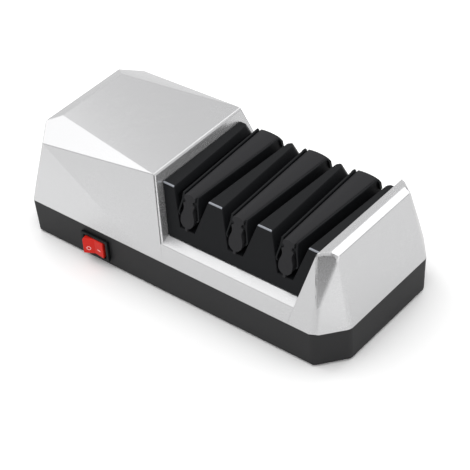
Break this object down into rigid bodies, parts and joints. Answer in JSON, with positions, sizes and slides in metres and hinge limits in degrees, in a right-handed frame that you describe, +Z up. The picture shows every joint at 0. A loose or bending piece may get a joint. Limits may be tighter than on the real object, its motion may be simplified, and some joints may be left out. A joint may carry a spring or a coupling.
{
  "type": "electric knife sharpener",
  "caption": "Countertop electric knife sharpener: faceted silver cover on a dark base, a recess with sprung knife guides over motor-driven wheels, and a rocker switch.",
  "frame": {"origin": "on the floor, under the middle of the base", "axes": "+X along the machine from the motor end to the end wall, +Y to the back, +Z up; the switch is on the front"},
  "size_m": [0.248, 0.1187, 0.077],
  "materials": {
    "silver_cover": "satin silver paint on moulded plastic",
    "dark_plastic": "dark grey moulded plastic, fine matt texture",
    "black_plastic": "black moulded plastic, fine matt texture",
    "switch_plastic": "black smooth plastic",
    "red_plastic": "red smooth plastic",
    "rubber_foot": "matt rubber",
    "bright_steel": "ground steel",
    "zinc_steel": "zinc plated steel",
    "bronze": "sintered bronze",
    "brass_contact": "brass",
    "magnet_ferrite": "matt sintered ferrite",
    "abrasive_wheel": "aluminium disc with a bonded abrasive face",
    "circuit_board": "green laminate",
    "component_plastic": "moulded black plastic",
    "film_capacitor": "dipped resin",
    "lead_brown": "insulated wire",
    "lead_blue": "insulated wire",
    "lead_red": "insulated wire",
    "lead_black": "insulated wire"
  },
  "bodies": {
    "case": {"base_tub": "dark_plastic", "top_cover": "silver_cover", "guide_block": "black_plastic", "guide_body_1": "black_plastic", "guide_body_2": "black_plastic", "guide_body_3": "black_plastic", "motor_screw_1": "bright_steel", "motor_screw_2": "bright_steel", "cover_screw_1": "bright_steel", "cover_screw_2": "bright_steel", "cover_screw_3": "bright_steel", "cover_screw_4": "bright_steel", "motor_can": "zinc_steel", "motor_bracket": "zinc_steel", "bearing_left": "bronze", "bearing_right": "bronze", "motor_end_cap": "component_plastic", "board_rectifier": "component_plastic", "inlet_body": "component_plastic", "motor_magnet_upper": "magnet_ferrite", "motor_magnet_lower": "magnet_ferrite", "switch_housing": "switch_plastic", "switch_terminal_1": "brass_contact", "switch_terminal_2": "brass_contact", "inlet_pin_1": "brass_contact", "inlet_pin_2": "brass_contact", "power_board": "circuit_board", "board_capacitor": "film_capacitor", "lead_inlet_to_switch": "lead_brown", "lead_switch_to_board": "lead_brown", "lead_inlet_to_board": "lead_blue", "lead_motor_plus": "lead_red", "lead_motor_minus": "lead_black", "foot_1": "rubber_foot", "foot_2": "rubber_foot", "foot_3": "rubber_foot", "foot_4": "rubber_foot"},
    "drive": {"drive_shaft": "bright_steel", "shaft_coupling": "zinc_steel", "wheel_spacer_1": "zinc_steel", "wheel_spacer_2": "zinc_steel", "shaft_collar_left": "zinc_steel", "shaft_collar_right": "zinc_steel", "motor_armature": "bright_steel", "wheel_spring_1": "bright_steel", "wheel_spring_2": "bright_steel", "wheel_spring_3": "bright_steel"},
    "wheel_1_left": {"wheel_1_left": "abrasive_wheel"},
    "wheel_1_right": {"wheel_1_right": "abrasive_wheel"},
    "wheel_2_left": {"wheel_2_left": "abrasive_wheel"},
    "wheel_2_right": {"wheel_2_right": "abrasive_wheel"},
    "wheel_3_left": {"wheel_3_left": "abrasive_wheel"},
    "wheel_3_right": {"wheel_3_right": "abrasive_wheel"},
    "rocker": {"switch_rocker": "red_plastic"},
    "guide_leaf_1_left": {"guide_leaf_1_left": "black_plastic"},
    "guide_leaf_1_right": {"guide_leaf_1_right": "black_plastic"},
    "guide_leaf_2_left": {"guide_leaf_2_left": "black_plastic"},
    "guide_leaf_2_right": {"guide_leaf_2_right": "black_plastic"},
    "guide_leaf_3_left": {"guide_leaf_3_left": "black_plastic"},
    "guide_leaf_3_right": {"guide_leaf_3_right": "black_plastic"}
  },
  "joints": [
    {"name": "drive_spin", "type": "hinge", "parent": "case", "child": "drive", "pos_m": [0, 0, 0.0272], "axis": [1, 0, 0], "continuous": true},
    {"name": "wheel_1_left_float", "type": "slide", "parent": "drive", "child": "wheel_1_left", "axis": [1, 0, 0], "range_m": [0, 0.0008], "stiffness_N_per_m": 400, "springref_m": -0.004, "deforming": ["wheel_spring_1"]},
    {"name": "wheel_1_right_float", "type": "slide", "parent": "drive", "child": "wheel_1_right", "axis": [-1, 0, 0], "range_m": [0, 0.0008], "stiffness_N_per_m": 400, "springref_m": -0.004},
    {"name": "wheel_2_left_float", "type": "slide", "parent": "drive", "child": "wheel_2_left", "axis": [1, 0, 0], "range_m": [0, 0.0008], "stiffness_N_per_m": 400, "springref_m": -0.004, "deforming": ["wheel_spring_2"]},
    {"name": "wheel_2_right_float", "type": "slide", "parent": "drive", "child": "wheel_2_right", "axis": [-1, 0, 0], "range_m": [0, 0.0008], "stiffness_N_per_m": 400, "springref_m": -0.004},
    {"name": "wheel_3_left_float", "type": "slide", "parent": "drive", "child": "wheel_3_left", "axis": [1, 0, 0], "range_m": [0, 0.0008], "stiffness_N_per_m": 400, "springref_m": -0.004, "deforming": ["wheel_spring_3"]},
    {"name": "wheel_3_right_float", "type": "slide", "parent": "drive", "child": "wheel_3_right", "axis": [-1, 0, 0], "range_m": [0, 0.0008], "stiffness_N_per_m": 400, "springref_m": -0.004},
    {"name": "switch_press", "type": "hinge", "parent": "case", "child": "rocker", "pos_m": [-0.0575, -0.0553, 0.0132], "axis": [0, 0, -1], "range_deg": [0, 22]},
    {"name": "guide_leaf_1_left_flex", "type": "hinge", "parent": "case", "child": "guide_leaf_1_left", "pos_m": [0.0033, 0, 0.0658], "axis": [0, -1, 0], "range_deg": [0, 6], "stiffness_Nm_per_rad": 0.05, "springref_deg": -5.73},
    {"name": "guide_leaf_1_right_flex", "type": "hinge", "parent": "case", "child": "guide_leaf_1_right", "pos_m": [0.0139, 0, 0.0658], "axis": [0, 1, 0], "range_deg": [0, 6], "stiffness_Nm_per_rad": 0.05, "springref_deg": -5.73},
    {"name": "guide_leaf_2_left_flex", "type": "hinge", "parent": "case", "child": "guide_leaf_2_left", "pos_m": [0.0398, 0, 0.0658], "axis": [0, -1, 0], "range_deg": [0, 6], "stiffness_Nm_per_rad": 0.05, "springref_deg": -5.73},
    {"name": "guide_leaf_2_right_flex", "type": "hinge", "parent": "case", "child": "guide_leaf_2_right", "pos_m": [0.0504, 0, 0.0658], "axis": [0, 1, 0], "range_deg": [0, 6], "stiffness_Nm_per_rad": 0.05, "springref_deg": -5.73},
    {"name": "guide_leaf_3_left_flex", "type": "hinge", "parent": "case", "child": "guide_leaf_3_left", "pos_m": [0.0763, 0, 0.0658], "axis": [0, -1, 0], "range_deg": [0, 6], "stiffness_Nm_per_rad": 0.05, "springref_deg": -5.73},
    {"name": "guide_leaf_3_right_flex", "type": "hinge", "parent": "case", "child": "guide_leaf_3_right", "pos_m": [0.0869, 0, 0.0658], "axis": [0, 1, 0], "range_deg": [0, 6], "stiffness_Nm_per_rad": 0.05, "springref_deg": -5.73}
  ]
}
